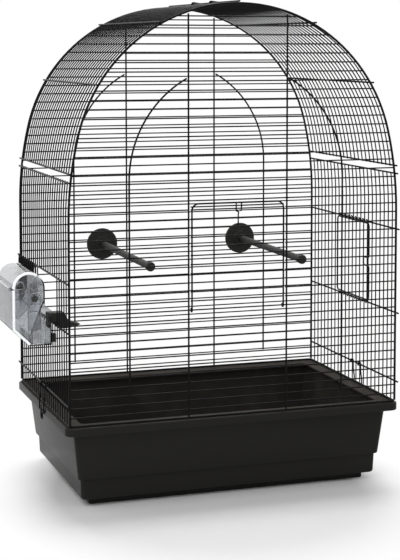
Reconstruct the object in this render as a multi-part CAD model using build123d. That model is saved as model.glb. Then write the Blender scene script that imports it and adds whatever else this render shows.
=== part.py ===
from build123d import *
from math import acos, asin, atan2, cos, degrees, pi, radians, sin, sqrt, tan
import os

# A wire bird cage with an arched roof that stands on a deep tray.
# Millimetres, +Z up, +Y towards the back. The origin is the middle of the tray's underside.

# Overall sizes of the cage
cage_width = 500.0
side_gap_count = 23
side_pitch = 14.2
bar_pitch = 13.1
wall_top_z = 467.0
shoulder_z = 410.0
arch_centre_z = 474.7
arch_radius = 242.3

# Wire diameters
edge_wire = 3.4
frame_wire = 3.0
rail_wire = 2.6
upright_wire = 2.6
bar_wire = 2.0
side_wire = 1.9
door_wire = 2.5
loop_wire = 2.5
latch_wire = 2.2

# Clearances between pieces
weld_gap = 0.05
pin_clearance = 0.08
slide_gap = 0.3

# Tray
tray_height = 122.0
rim_overhang = 6.0
rim_height = 11.7
rim_ledge = 27.0
foot_height = 10.4
lower_band_height = 30.2
tray_wall = 2.6
body_top_inset = 14.8
body_bottom_inset = 22.8
band_top_inset = 26.8
band_bottom_inset = 28.1
foot_inset = 41.8
rim_corner = 14.0
corner_easing = 4.0
smallest_corner = 4.0

# Places that follow from the overall sizes
cage_depth = side_gap_count * side_pitch
half_width = cage_width / 2
half_depth = cage_depth / 2
frame_z = tray_height + slide_gap + frame_wire / 2
frame_corner = 6.0
bar_plane = half_depth - edge_wire / 2 - bar_wire / 2 - weld_gap
upright_plane = bar_plane + bar_wire / 2 + weld_gap + upright_wire / 2
rail_plane = half_width + edge_wire / 2 + weld_gap + rail_wire / 2
side_plane = rail_plane - rail_wire / 2 - weld_gap - side_wire / 2
rail_offset = rail_plane - half_width
side_offset = side_plane - half_width
rail_overhang = 2.5

# The side outline: an upright, a long lean arc, then the arch over the top
lean_drop = arch_centre_z - shoulder_z
lean_radius = (half_width ** 2 + lean_drop ** 2 - arch_radius ** 2) / (
    2 * (half_width - arch_radius)
)
lean_centre_x = half_width - lean_radius
join_turn = atan2(lean_drop, -lean_centre_x)

# Bars and rails by their level
first_bar_drop = 4.4
first_bar_z = wall_top_z - first_bar_drop
shortest_bar = 60.0
roof_foot_z = wall_top_z + 12.0
side_door_top_z = wall_top_z - 83.6
feeder_door_top_z = wall_top_z - 141.0
door_sill_z = wall_top_z - 210.0
low_rail_z = wall_top_z - 314.0
roof_rail_rises = [135.5, 222.8]

# Front door
front_upright_x = 75.0
door_half_width = 70.0
door_first_bar = 3
door_hinge_bar = 14
door_corner = 10.0
door_top_gap = 4.4
door_second_bar_drop = 4.5
eye_turn = 250.0
latch_loop_width = 8.0
latch_loop_height = 14.5
latch_loop_shoulder = 1.5
latch_neck_drop = 4.0
latch_foot_drop = 1.5
latch_bend = 1.05
latch_staple_bars = (4, 5)
staple_wire = 1.2

# Decorative arches beside the uprights
arch_leg_x = 162.5
arch_leg_bar = 24
arch_meet_z = wall_top_z + 144.0

# Side doors
opening_gaps = 9
right_opening_first = 7
feeder_opening_first = 5
side_door_bend_height = 14.0
side_door_bend_depth = 20.0
side_door_bend_taper = 1.0
side_door_bend_corner = 3.0
side_door_corner = 6.0
side_door_play = 3.2
side_door_standoff = 0.35
hook_turn = 90.0

# Feeder
feeder_wall = 1.8
feeder_lip_depth = 9.8
feeder_hood_depth = 47.0
feeder_width = 116.0
feeder_front_inset = 6.3
feeder_bottom_drop = 30.0
feeder_lip_z = door_sill_z - 2.0
feeder_mouth_top = door_sill_z + 28.0
feeder_joint_z = door_sill_z + 52.5
feeder_chamfer = 24.0
feeder_hood_rise = 8.0
feeder_top_play = 5.0
feeder_mouth_play = 2.0
divider_thickness = 1.6
divider_top_drop = 4.0
baffle_thickness = 1.4
baffle_land = 3.0
baffle_reach = 22.0
baffle_top_rise = 6.0
baffle_bottom_rise = 16.0
lid_gap = 0.3
lid_knuckle = 5.2
lid_pin = 2.0
knuckle_length = 14.0
knuckle_inset = 6.0
knuckle_overlap = 0.2
perch_block_width = 18.0
perch_block_rise = 14.0
perch_block_height = 10.0
perch_block_drop = 4.0
perch_block_wall = 3.0
perch_rail_play = 0.5
clip_width = 8.0
clip_height = 12.0
clip_rise = 3.0

# Perches
perch_x = 118.0
perch_bar = 9
perch_diameter = 10.5
perch_tip_y = -120.0
perch_knob = 14.0
perch_knob_length = 9.0
perch_knob_round = 2.5
flange_diameter = 50.0
flange_thickness = 5.0
flange_boss = 24.0
flange_boss_length = 4.0
stud_diameter = 8.0
nut_diameter = 32.0
nut_thickness = 9.0
nut_lobes = 8
nut_flute = 6.4
stud_overhang = 3.0
flange_round = 1.2
flute_depth_offset = 1.5
overlap = 1.0

# Latches that hold the cage on the tray
latch_leg_gaps = 2
latch_middle_y = -side_pitch
latch_cross_drop = 7.7
latch_tab_drop = 19.0
latch_tab_width = 9.0
latch_neck_length = 12.0
latch_rim_clear = 6.0
latch_bend_radius = 2.2

# Carrying loop on the roof
loop_half_span = 3 * side_pitch
loop_reach = 40.0
loop_corner = 8.0
loop_tilt_margin = 0.6


def rod(start, end, diameter):
    """A straight wire between two points."""
    run = Vector(*end) - Vector(*start)
    return Solid.make_cylinder(diameter / 2, run.length, Plane(origin=start, z_dir=run))


def bent_wire(edges, diameter):
    """One wire of round section swept along edges that join end to end."""
    path = Wire(edges)
    section = Plane(origin=path @ 0, z_dir=path % 0) * Circle(diameter / 2)
    return sweep(section, path=path)


def arc_about(centre, x_dir, normal, radius, start, turn):
    """An arc in any plane, from a start angle through a turn in degrees."""
    plane = Plane(origin=centre, x_dir=x_dir, z_dir=normal)
    middle = start + turn / 2
    end = start + turn
    points = [
        plane.from_local_coords((radius * cos(radians(a)), radius * sin(radians(a))))
        for a in (start, middle, end)
    ]
    return ThreePointArc(*points)


def save(name, solids):
    """Writes one node's solids to its own file."""
    export_step(Compound(children=[Compound(s.wrapped) for s in solids]), f"parts/{name}.step")


def bar_level(number):
    """The height of a horizontal bar, counted downwards from just under the wall's top."""
    return first_bar_z - number * bar_pitch


def join_height(offset):
    """The height where the lean arc runs into the arch, for an outline moved out."""
    return arch_centre_z + (arch_radius + offset) * sin(join_turn)


def half_span_at(z, offset):
    """Half the width of the cage's outline at a height, moved out by an offset."""
    if z <= shoulder_z:
        return half_width + offset
    if z <= join_height(offset):
        return lean_centre_x + sqrt((lean_radius + offset) ** 2 - (z - shoulder_z) ** 2)
    return sqrt((arch_radius + offset) ** 2 - (z - arch_centre_z) ** 2)


def outline_point(side, y, z, offset):
    """A point on the left (-1) or right (1) half of the outline."""
    return (side * half_span_at(z, offset), y, z)


def lean_arc(side, y, start_z, end_z, offset):
    """The leaning part of the outline between two heights."""
    middle_z = (start_z + end_z) / 2
    points = [outline_point(side, y, z, offset) for z in (start_z, middle_z, end_z)]
    return ThreePointArc(*points)


def roof_arc(y, offset):
    """The arch over the top, from the left lean arc to the right one."""
    join_z = join_height(offset)
    return ThreePointArc(
        outline_point(-1, y, join_z, offset),
        (0, y, arch_centre_z + arch_radius + offset),
        outline_point(1, y, join_z, offset),
    )


def side_wire_y(number):
    """The place of a side wire, counted from the front edge wire."""
    return -half_depth + number * side_pitch


# Places that follow from the bars and wires

# Front door and its latch
door_plane = -(bar_plane + bar_wire / 2 + weld_gap + door_wire / 2)
door_hinge_z = bar_level(door_hinge_bar)
door_top_z = bar_level(door_first_bar - 1) - door_top_gap
eye_radius = bar_wire / 2 + weld_gap + door_wire / 2
latch_leg_y = -(bar_plane + bar_wire / 2 + slide_gap + bar_wire / 2)
latch_leg_bottom = bar_level(latch_staple_bars[-1]) - latch_foot_drop

# Side doors
side_door_plane = rail_plane + side_door_standoff
side_door_wire_plane = side_door_plane + door_wire / 2 + weld_gap + side_wire / 2
side_door_half = opening_gaps * side_pitch / 2 - side_door_play

# Feeder
feeder_back_x = -(side_door_wire_plane + side_wire / 2 + slide_gap + side_door_standoff)
feeder_hood_x = feeder_back_x - feeder_lip_depth
feeder_outer_x = feeder_hood_x - feeder_hood_depth
feeder_front_y = side_wire_y(feeder_opening_first) + feeder_front_inset
feeder_rear_y = feeder_front_y + feeder_width
feeder_middle_y = (feeder_front_y + feeder_rear_y) / 2
feeder_bottom_z = door_sill_z - feeder_bottom_drop
feeder_hinge_x = feeder_outer_x - lid_knuckle / 2 + knuckle_overlap

# Perches
perch_z = bar_level(perch_bar) - bar_pitch / 2
flange_back_y = bar_plane - bar_wire / 2 - weld_gap
flange_front_y = flange_back_y - flange_thickness - flange_boss_length
nut_front_y = bar_plane + bar_wire / 2 + weld_gap

# Crown rail and the carrying loop on it
crown_z = arch_centre_z + arch_radius + rail_offset
loop_eye = rail_wire / 2 + pin_clearance + loop_wire / 2
roof_top = arch_radius + side_offset + side_wire / 2
loop_clear = arch_radius + rail_offset + loop_eye - loop_wire / 2 - slide_gap - roof_top
loop_tilt = degrees(asin(sqrt(2 * loop_clear / roof_top))) - loop_tilt_margin


def bar_numbers():
    """Numbers of the bars from the top of the arch to the one above the bottom frame."""
    highest = arch_centre_z + sqrt(arch_radius ** 2 - shortest_bar ** 2)
    first = -int((highest - first_bar_z) / bar_pitch)
    last = int((first_bar_z - frame_z - bar_pitch / 2) / bar_pitch)
    return range(first, last + 1)


def tray_section(inset, z):
    """A rounded rectangle of the tray's outline, drawn in by an inset."""
    width = cage_width + 2 * rim_overhang - 2 * inset
    depth = cage_depth + 2 * rim_overhang - 2 * inset
    corner = max(rim_corner - inset / corner_easing, smallest_corner)
    return Pos(0, 0, z) * RectangleRounded(width, depth, corner)


def tray():
    """One tub: foot, lower band, step, upper wall and flanged rim, hollow inside."""
    step_z = foot_height + lower_band_height
    rim_z = tray_height - rim_height
    plate_z = tray_height - tray_wall
    floor_z = foot_height + tray_wall
    ledge_z = step_z + tray_wall
    foot = extrude(tray_section(foot_inset, 0), floor_z)
    band = loft([
        tray_section(band_bottom_inset, foot_height),
        tray_section(band_top_inset, step_z),
    ])
    body = loft([tray_section(body_bottom_inset, step_z), tray_section(body_top_inset, rim_z)])
    neck = extrude(tray_section(body_top_inset, rim_z), rim_height)
    rim = extrude(tray_section(0, rim_z), rim_height)
    under_rim = extrude(tray_section(tray_wall, rim_z), plate_z - rim_z)
    tub = foot + band + body + (rim - under_rim) + neck
    inner_foot = extrude(tray_section(foot_inset + tray_wall, tray_wall), foot_height)
    inner_band = loft([
        tray_section(band_bottom_inset + tray_wall, floor_z),
        tray_section(band_top_inset + tray_wall, ledge_z),
    ])
    inner_body = loft([
        tray_section(body_bottom_inset + tray_wall, ledge_z),
        tray_section(body_top_inset + tray_wall, rim_z),
    ])
    inner_neck = extrude(tray_section(body_top_inset + tray_wall, rim_z), plate_z - rim_z)
    mouth = extrude(tray_section(rim_ledge, rim_z), rim_height)
    return [tub - inner_foot - inner_band - inner_body - inner_neck - mouth]


def bottom_frame():
    """The closed wire that stands on the rim and carries the walls."""
    outline = Pos(0, 0, frame_z) * RectangleRounded(cage_width, cage_depth, frame_corner)
    path = outline.wire()
    section = Plane(origin=path @ 0, z_dir=path % 0) * Circle(frame_wire / 2)
    return [sweep(section, path=path)]


def edge_outline(side):
    """The front (-1) or back (1) edge wire: two uprights joined by the arch."""
    foot_z = frame_z + frame_wire / 2 + weld_gap
    y = side * half_depth
    join_z = join_height(0)
    edges = [
        Line(outline_point(-1, y, foot_z, 0), outline_point(-1, y, shoulder_z, 0)),
        lean_arc(-1, y, shoulder_z, join_z, 0),
        roof_arc(y, 0),
        lean_arc(1, y, join_z, shoulder_z, 0),
        Line(outline_point(1, y, shoulder_z, 0), outline_point(1, y, foot_z, 0)),
    ]
    return [bent_wire(edges, edge_wire)]


def wall_bars(side):
    """The horizontal bars of the front or back wall, cut away behind the front door."""
    y = side * bar_plane
    cut = range(door_first_bar, door_hinge_bar)
    solids = []
    for number in bar_numbers():
        z = bar_level(number)
        reach = half_span_at(z, 0)
        if side < 0 and number in cut:
            inner = front_upright_x - upright_wire / 2
            solids.append(rod((-reach, y, z), (-inner, y, z), bar_wire))
            solids.append(rod((inner, y, z), (reach, y, z), bar_wire))
        else:
            solids.append(rod((-reach, y, z), (reach, y, z), bar_wire))
    return solids


def wall_uprights(side):
    """Two full height wires of a wall, up to the arch."""
    y = side * upright_plane
    foot_z = frame_z + frame_wire / 2 + weld_gap
    inner_radius = arch_radius - edge_wire / 2 - upright_wire / 2
    top_z = arch_centre_z + sqrt(inner_radius ** 2 - front_upright_x ** 2)
    return [
        rod((x, y, foot_z), (x, y, top_z), upright_wire)
        for x in (-front_upright_x, front_upright_x)
    ]


def decorative_arches(side):
    """A leg on each side that curves over to meet the upright beside it."""
    y = side * upright_plane
    foot_z = bar_level(arch_leg_bar) - bar_wire
    span = arch_leg_x - front_upright_x - upright_wire / 2
    rise = arch_meet_z - wall_top_z
    radius = (span ** 2 + rise ** 2) / (2 * span)
    centre_x = arch_leg_x - radius
    end_x = front_upright_x + upright_wire
    turn = acos((end_x - centre_x) / radius)
    middle = turn / 2
    solids = []
    for s in (-1, 1):
        leg = Line((s * arch_leg_x, y, foot_z), (s * arch_leg_x, y, wall_top_z))
        curve = ThreePointArc(
            (s * arch_leg_x, y, wall_top_z),
            (s * (centre_x + radius * cos(middle)), y, wall_top_z + radius * sin(middle)),
            (s * (centre_x + radius * cos(turn)), y, wall_top_z + radius * sin(turn)),
        )
        solids.append(bent_wire([leg, curve], upright_wire))
    return solids


def side_wire_to_top(side, y, start_z):
    """A wire of the side wall that runs up and leans in to the top rail."""
    head_z = wall_top_z + rail_wire / 2
    foot = outline_point(side, y, start_z, side_offset)
    shoulder = outline_point(side, y, shoulder_z, side_offset)
    lean = lean_arc(side, y, shoulder_z, head_z, side_offset)
    return bent_wire([Line(foot, shoulder), lean], side_wire)


def side_wires(side, first, top_z):
    """The upright wires of one side, cut away over the opening of that side."""
    foot_z = frame_z + frame_wire / 2 + weld_gap
    x = side * side_plane
    solids = []
    for number in range(1, side_gap_count):
        y = side_wire_y(number)
        if first < number < first + opening_gaps:
            solids.append(rod((x, y, foot_z), (x, y, door_sill_z + rail_wire / 2), side_wire))
            solids.append(side_wire_to_top(side, y, top_z - rail_wire / 2))
        else:
            solids.append(side_wire_to_top(side, y, foot_z))
    return solids


def roof_wires():
    """The wires that bend over the roof, from the lowest roof rail to the other one."""
    foot_z = roof_foot_z - rail_wire / 2
    join_z = join_height(side_offset)
    solids = []
    for number in range(1, side_gap_count):
        y = side_wire_y(number)
        edges = [
            lean_arc(-1, y, foot_z, join_z, side_offset),
            roof_arc(y, side_offset),
            lean_arc(1, y, join_z, foot_z, side_offset),
        ]
        solids.append(bent_wire(edges, side_wire))
    return solids


def rail_at(x, z):
    """A straight wire from front to back that overhangs both edge wires."""
    reach = half_depth + edge_wire / 2 + rail_overhang
    return rod((x, -reach, z), (x, reach, z), rail_wire)


def side_rails(side, door_top_z):
    """The rails on the outside of one side wall."""
    levels = (wall_top_z, door_top_z, door_sill_z, low_rail_z)
    return [rail_at(side * half_span_at(z, rail_offset), z) for z in levels]


def roof_rails():
    """The rails on the outside of the roof, with the one along its crown."""
    levels = [roof_foot_z] + [wall_top_z + rise for rise in roof_rail_rises]
    solids = [rail_at(0, crown_z)]
    for z in levels:
        reach = half_span_at(z, rail_offset)
        solids.append(rail_at(-reach, z))
        solids.append(rail_at(reach, z))
    return solids


def eye_at(x, start, turn):
    """The curl of the front door's frame round its hinge bar."""
    centre = (x, -bar_plane, door_hinge_z)
    return arc_about(centre, (0, 1, 0), (1, 0, 0), eye_radius, start, turn)


def front_door_frame():
    """A bent wire with rounded top corners whose two ends curl round the hinge bar."""
    left = -door_half_width
    right = door_half_width
    corner_z = door_top_z - door_corner
    mid = door_corner * (1 - cos(pi / 4))
    edges = [
        eye_at(left, 180 + eye_turn, -eye_turn),
        Line((left, door_plane, door_hinge_z), (left, door_plane, corner_z)),
        ThreePointArc(
            (left, door_plane, corner_z),
            (left + mid, door_plane, door_top_z - mid),
            (left + door_corner, door_plane, door_top_z),
        ),
        Line(
            (left + door_corner, door_plane, door_top_z),
            (right - door_corner, door_plane, door_top_z),
        ),
        ThreePointArc(
            (right - door_corner, door_plane, door_top_z),
            (right - mid, door_plane, door_top_z - mid),
            (right, door_plane, corner_z),
        ),
        Line((right, door_plane, corner_z), (right, door_plane, door_hinge_z)),
        eye_at(right, 180, eye_turn),
    ]
    return [bent_wire(edges, door_wire)]


def front_door_bars():
    """The door's own bars, level with those of the wall, and the second bar at its top."""
    reach = door_half_width + door_wire / 2
    levels = [bar_level(n) for n in range(door_first_bar, door_hinge_bar)]
    levels.append(door_top_z - door_second_bar_drop)
    return [rod((-reach, -bar_plane, z), (reach, -bar_plane, z), bar_wire) for z in levels]


def front_door_latch():
    """A finger loop in front of the door's top bars with a leg that runs down behind it."""
    loop_y = door_plane - door_wire / 2 - slide_gap - bar_wire / 2
    loop_top = door_top_z + door_wire / 2
    loop_bottom = loop_top - latch_loop_height
    half = latch_loop_width / 2
    leg_top = loop_bottom - latch_neck_drop
    shoulder = loop_bottom + latch_loop_shoulder
    path = FilletPolyline(
        (0, latch_leg_y, latch_leg_bottom),
        (0, latch_leg_y, leg_top),
        (0, loop_y, loop_bottom),
        (-half, loop_y, shoulder),
        (-half, loop_y, loop_top - bar_wire / 2),
        (half, loop_y, loop_top - bar_wire / 2),
        (half, loop_y, shoulder),
        (bar_wire * 0.75, loop_y, shoulder + bar_wire / 4),
        radius=latch_bend,
    )
    section = Plane(origin=path @ 0, z_dir=path % 0) * Circle(bar_wire / 2)
    return [sweep(section, path=path)]


def latch_staples():
    """Two small staples on the door's bars that the latch's leg slides in."""
    reach = bar_wire / 2 + pin_clearance + staple_wire / 2
    bar_face = -(bar_plane + bar_wire / 2 + weld_gap)
    solids = []
    for number in latch_staple_bars:
        z = bar_level(number)
        edges = [
            Line((-reach, bar_face, z), (-reach, latch_leg_y, z)),
            ThreePointArc(
                (-reach, latch_leg_y, z), (0, latch_leg_y - reach, z), (reach, latch_leg_y, z)
            ),
            Line((reach, latch_leg_y, z), (reach, bar_face, z)),
        ]
        solids.append(bent_wire(edges, staple_wire))
    return solids


def side_door_middle(first):
    """The middle of an opening between two side wires."""
    return side_wire_y(first) + opening_gaps * side_pitch / 2


def side_door_frame(side, middle_y, top_z):
    """A rounded frame between the two rails, with a finger bend in its front edge."""
    x = side * side_door_plane
    inset = rail_wire / 2 + slide_gap + door_wire / 2
    low = door_sill_z + inset
    high = top_z - inset
    front = middle_y - side_door_half
    back = middle_y + side_door_half
    bend_low = (low + high) / 2 - side_door_bend_height / 2
    bend_high = bend_low + side_door_bend_height
    bend_y = front + side_door_bend_depth
    corners = [side_door_corner] + 4 * [side_door_bend_corner] + 3 * [side_door_corner]
    path = FilletPolyline(
        (x, middle_y, low),
        (x, front, low),
        (x, front, bend_low),
        (x, bend_y, bend_low + side_door_bend_taper),
        (x, bend_y, bend_high - side_door_bend_taper),
        (x, front, bend_high),
        (x, front, high),
        (x, back, high),
        (x, back, low),
        (x, middle_y + door_wire, low),
        radius=corners,
    )
    section = Plane(origin=path @ 0, z_dir=path % 0) * Circle(door_wire / 2)
    return [sweep(section, path=path)]


def door_wire_hook(side, y, z, start):
    """The hook of a side door's wire over its rail."""
    radius = side_door_wire_plane - rail_plane
    centre = (side * rail_plane, y, z)
    return arc_about(centre, (side, 0, 0), (0, -side, 0), radius, start, hook_turn)


def side_door_wires(side, middle_y, top_z):
    """Upright wires whose ends hook over the upper rail and under the lower one."""
    x = side * side_door_wire_plane
    count = opening_gaps - 1
    solids = []
    for number in range(count):
        y = middle_y + (number - (count - 1) / 2) * side_pitch
        edges = [
            door_wire_hook(side, y, door_sill_z, -hook_turn),
            Line((x, y, door_sill_z), (x, y, top_z)),
            door_wire_hook(side, y, top_z, 0),
        ]
        solids.append(bent_wire(edges, side_wire))
    return solids


def feeder_outline(inset, top_z):
    """The feeder's end profile in X and Z, drawn in by the wall."""
    back = feeder_back_x - inset
    hood = feeder_hood_x - inset
    outer = feeder_outer_x + inset
    bottom = feeder_bottom_z + inset
    slope = feeder_chamfer - inset * tan(pi / 8)
    return [
        (back, bottom),
        (back, feeder_mouth_top - feeder_hood_rise),
        (hood, feeder_mouth_top),
        (hood, top_z),
        (outer, top_z),
        (outer, bottom + slope),
        (outer + slope, bottom),
    ]


def along_feeder(points, start_y, end_y):
    """A profile in X and Z carried along Y."""
    plane = Plane(origin=(0, start_y, 0), x_dir=(1, 0, 0), z_dir=(0, -1, 0))
    face = make_face(Polyline(*points, close=True))
    return extrude(plane * face, -(end_y - start_y))


def cylinder_y(x, z, radius, start_y, end_y):
    """A round bar along Y."""
    plane = Plane(origin=(x, start_y, z), z_dir=(0, 1, 0))
    return Solid.make_cylinder(radius, end_y - start_y, plane)


def lid_knuckle_spans():
    """Where the housing's two knuckles and the lid's one lie along Y."""
    first = feeder_front_y + knuckle_inset
    last = feeder_rear_y - knuckle_inset
    housing = [(first, first + knuckle_length), (last - knuckle_length, last)]
    lid = (first + knuckle_length + lid_gap, last - knuckle_length - lid_gap)
    return housing, lid


def hinge_round(radius, start_y, end_y):
    """A round bar about the axis of the feeder's lid."""
    return cylinder_y(feeder_hinge_x, feeder_joint_z, radius, start_y, end_y)


def feeder_housing():
    """A clear hopper open on top, with a feeding mouth towards the cage."""
    outer = along_feeder(feeder_outline(0, feeder_joint_z), feeder_front_y, feeder_rear_y)
    inner = along_feeder(
        feeder_outline(feeder_wall, feeder_joint_z + feeder_top_play),
        feeder_front_y + feeder_wall,
        feeder_rear_y - feeder_wall,
    )
    mouth_high = feeder_mouth_top + feeder_mouth_play
    mouth = Pos(feeder_back_x, feeder_middle_y, (feeder_lip_z + mouth_high) / 2)
    mouth_cut = mouth * Box(
        2 * (feeder_lip_depth + feeder_wall + slide_gap),
        feeder_width - 2 * feeder_wall,
        mouth_high - feeder_lip_z,
    )
    shell = outer - inner - mouth_cut
    housing_spans, lid_span = lid_knuckle_spans()
    for start, end in housing_spans:
        shell = shell + hinge_round(lid_knuckle / 2, start, end)
    clear_radius = lid_knuckle / 2 + lid_gap
    shell = shell - hinge_round(clear_radius, lid_span[0] - lid_gap, lid_span[1] + lid_gap)
    return [shell - hinge_round(lid_pin / 2 + pin_clearance, feeder_front_y, feeder_rear_y)]


def feeder_lid():
    """A half round dome with closed ends and a hinge knuckle along its outer edge."""
    radius = feeder_hood_depth / 2
    middle_x = feeder_hood_x - radius
    base_z = feeder_joint_z + lid_gap
    outer = cylinder_y(middle_x, base_z, radius, feeder_front_y, feeder_rear_y)
    inner_start = feeder_front_y + feeder_wall
    inner_end = feeder_rear_y - feeder_wall
    inner = cylinder_y(middle_x, base_z, radius - feeder_wall, inner_start, inner_end)
    upper_half = Pos(middle_x, feeder_middle_y, base_z + radius)
    half_space = Box(2 * radius + overlap, feeder_width + overlap, 2 * radius)
    dome = (outer - inner) & (upper_half * half_space)
    housing_spans, lid_span = lid_knuckle_spans()
    dome = dome + hinge_round(lid_knuckle / 2, lid_span[0], lid_span[1])
    clear_radius = lid_knuckle / 2 + lid_gap
    for start, end in housing_spans:
        dome = dome - hinge_round(clear_radius, start - lid_gap, end + lid_gap)
    return [dome - hinge_round(lid_pin / 2 + pin_clearance, feeder_front_y, feeder_rear_y)]


def feeder_lid_pin():
    """The pin that runs through the knuckles."""
    return [hinge_round(lid_pin / 2, feeder_front_y + knuckle_inset, feeder_rear_y - knuckle_inset)]


def feeder_divider():
    """The plate that parts the hopper into two bays."""
    middle = feeder_middle_y
    outline = feeder_outline(feeder_wall + weld_gap, feeder_joint_z - divider_top_drop)
    plate = along_feeder(outline, middle - divider_thickness / 2, middle + divider_thickness / 2)
    notch = Pos(feeder_back_x, middle, feeder_lip_z + feeder_bottom_drop) * Box(
        2 * feeder_lip_depth, 4 * divider_thickness, 2 * feeder_bottom_drop
    )
    return [plate - notch]


def feeder_baffles():
    """A sloping plate in each bay that lets the seed run down to the mouth."""
    upper = (feeder_hood_x - feeder_wall - weld_gap, feeder_mouth_top + baffle_top_rise)
    lower = (feeder_hood_x - baffle_reach, feeder_bottom_z + baffle_bottom_rise)
    outline = [
        upper,
        (upper[0], upper[1] - baffle_land),
        (lower[0] + baffle_thickness, lower[1]),
        lower,
        (upper[0] - baffle_thickness, upper[1]),
    ]
    start = feeder_front_y + feeder_wall + weld_gap
    end = feeder_rear_y - feeder_wall - weld_gap
    half = divider_thickness / 2 + weld_gap
    return [
        along_feeder(outline, start, feeder_middle_y - half),
        along_feeder(outline, feeder_middle_y + half, end),
    ]


def feeder_perch():
    """A black landing perch that sits on the feeder's lip and hooks behind the lower rail."""
    lip_inner = feeder_back_x - feeder_wall
    lip_face = lip_inner - weld_gap
    hook_face = lip_inner - perch_block_wall
    seat = feeder_lip_z + weld_gap
    low = door_sill_z + rail_wire / 2 + perch_rail_play
    high = low + perch_block_rise
    nose = low - perch_block_height / 2
    inside = -(side_plane - side_wire / 2 - door_wire)
    neck = inside + perch_block_width / 2
    slope = inside + perch_block_width - overlap * 2
    tip = inside + 2 * perch_block_width - overlap * 2
    bottom = low - perch_block_height + overlap / 2
    rail_side = feeder_back_x + slide_gap
    outline = [
        (lip_face, seat - perch_block_drop),
        (hook_face, seat - perch_block_drop),
        (hook_face, high),
        (neck, high),
        (slope, low + overlap),
        (tip, nose),
        (slope, bottom),
        (inside, bottom),
        (inside, low),
        (rail_side, low),
        (rail_side, seat),
        (lip_face, seat),
    ]
    start = feeder_front_y + feeder_wall + weld_gap
    return [along_feeder(outline, start, start + perch_block_width)]


def feeder_clips():
    """Two black clips below the mouth, each with a slot for a side wire."""
    solids = []
    z = feeder_bottom_z + clip_rise + clip_height / 2
    outer = feeder_back_x + weld_gap
    inner = -(side_plane - side_wire / 2 + slide_gap - 2 * weld_gap)
    for number in (feeder_opening_first + 1, feeder_opening_first + opening_gaps - 1):
        y = side_wire_y(number)
        block = Pos((outer + inner) / 2, y, z) * Box(inner - outer, clip_width, clip_height)
        slot_width = side_wire + 2 * slide_gap
        slot_end = -(side_plane + side_wire / 2 + slide_gap)
        slot_at = Pos((slot_end + inner + overlap) / 2, y, z)
        slot = slot_at * Box(inner + overlap - slot_end, slot_width, clip_height + overlap)
        solids.append(block - slot)
    return solids


def perch_rod(x):
    """The perch, its knob and the threaded stud that passes through the wall."""
    stud_end = nut_front_y + nut_thickness + stud_overhang
    knob_back = perch_tip_y + perch_knob_length
    stick_end = flange_front_y - weld_gap
    stick = cylinder_y(x, perch_z, perch_diameter / 2, knob_back - overlap, stick_end)
    knob = cylinder_y(x, perch_z, perch_knob / 2, perch_tip_y, knob_back)
    knob = fillet(knob.edges(), perch_knob_round)
    stud = cylinder_y(x, perch_z, stud_diameter / 2, flange_front_y - overlap, stud_end)
    return [stick + knob + stud]


def perch_flange(x):
    """The round flange that bears on the bars inside the cage."""
    disc_front = flange_back_y - flange_thickness
    disc_middle = flange_back_y - flange_thickness / 2
    bore_radius = stud_diameter / 2 + weld_gap
    disc = cylinder_y(x, perch_z, flange_diameter / 2, disc_front, flange_back_y)
    boss = cylinder_y(x, perch_z, flange_boss / 2, flange_front_y, disc_middle)
    bore = cylinder_y(x, perch_z, bore_radius, flange_front_y - overlap, flange_back_y + overlap)
    body = disc + boss
    body = fillet(body.edges().filter_by(GeomType.CIRCLE), flange_round)
    return [body - bore]


def perch_nut(x):
    """The fluted nut behind the wall."""
    start = nut_front_y
    end = start + nut_thickness
    nut = cylinder_y(x, perch_z, nut_diameter / 2, start, end)
    for lobe in range(nut_lobes):
        angle = 2 * pi * lobe / nut_lobes
        centre = nut_diameter / 2 + flute_depth_offset
        flute_x = x + centre * cos(angle)
        flute_z = perch_z + centre * sin(angle)
        nut = nut - cylinder_y(flute_x, flute_z, nut_flute / 2, start - overlap, end + overlap)
    bore_radius = stud_diameter / 2 + pin_clearance
    return [nut - cylinder_y(x, perch_z, bore_radius, start - overlap, end + overlap)]


def tray_latch(side):
    """A wire whose ends curl round the low rail, with a pull tab over the tray's rim."""
    radius = rail_wire / 2 + pin_clearance + latch_wire / 2
    rail_x = side * rail_plane
    leg_x = side * (rail_plane + radius)
    rim_x = side * (half_width + rim_overhang + slide_gap + latch_wire / 2)
    cross_z = tray_height - latch_cross_drop
    tab_z = tray_height - latch_tab_drop
    half_leg = latch_leg_gaps * side_pitch / 2
    half_tab = latch_tab_width / 2
    front = latch_middle_y - half_leg
    back = latch_middle_y + half_leg
    neck_z = low_rail_z - latch_neck_length
    rim_top_z = tray_height + latch_rim_clear
    path = FilletPolyline(
        (leg_x, front, low_rail_z),
        (leg_x, front, neck_z),
        (rim_x, front, rim_top_z),
        (rim_x, front, cross_z),
        (rim_x, latch_middle_y - half_tab, cross_z),
        (rim_x, latch_middle_y - half_tab, tab_z),
        (rim_x, latch_middle_y + half_tab, tab_z),
        (rim_x, latch_middle_y + half_tab, cross_z),
        (rim_x, back, cross_z),
        (rim_x, back, rim_top_z),
        (leg_x, back, neck_z),
        (leg_x, back, low_rail_z),
        radius=latch_bend_radius,
    )
    outward = (side, 0, 0)
    along = (0, -side, 0)
    front_centre = (rail_x, front, low_rail_z)
    back_centre = (rail_x, back, low_rail_z)
    front_eye = arc_about(front_centre, outward, along, radius, eye_turn, -eye_turn)
    back_eye = arc_about(back_centre, outward, along, radius, 0, eye_turn)
    return [bent_wire([front_eye] + list(path.edges()) + [back_eye], latch_wire)]


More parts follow.
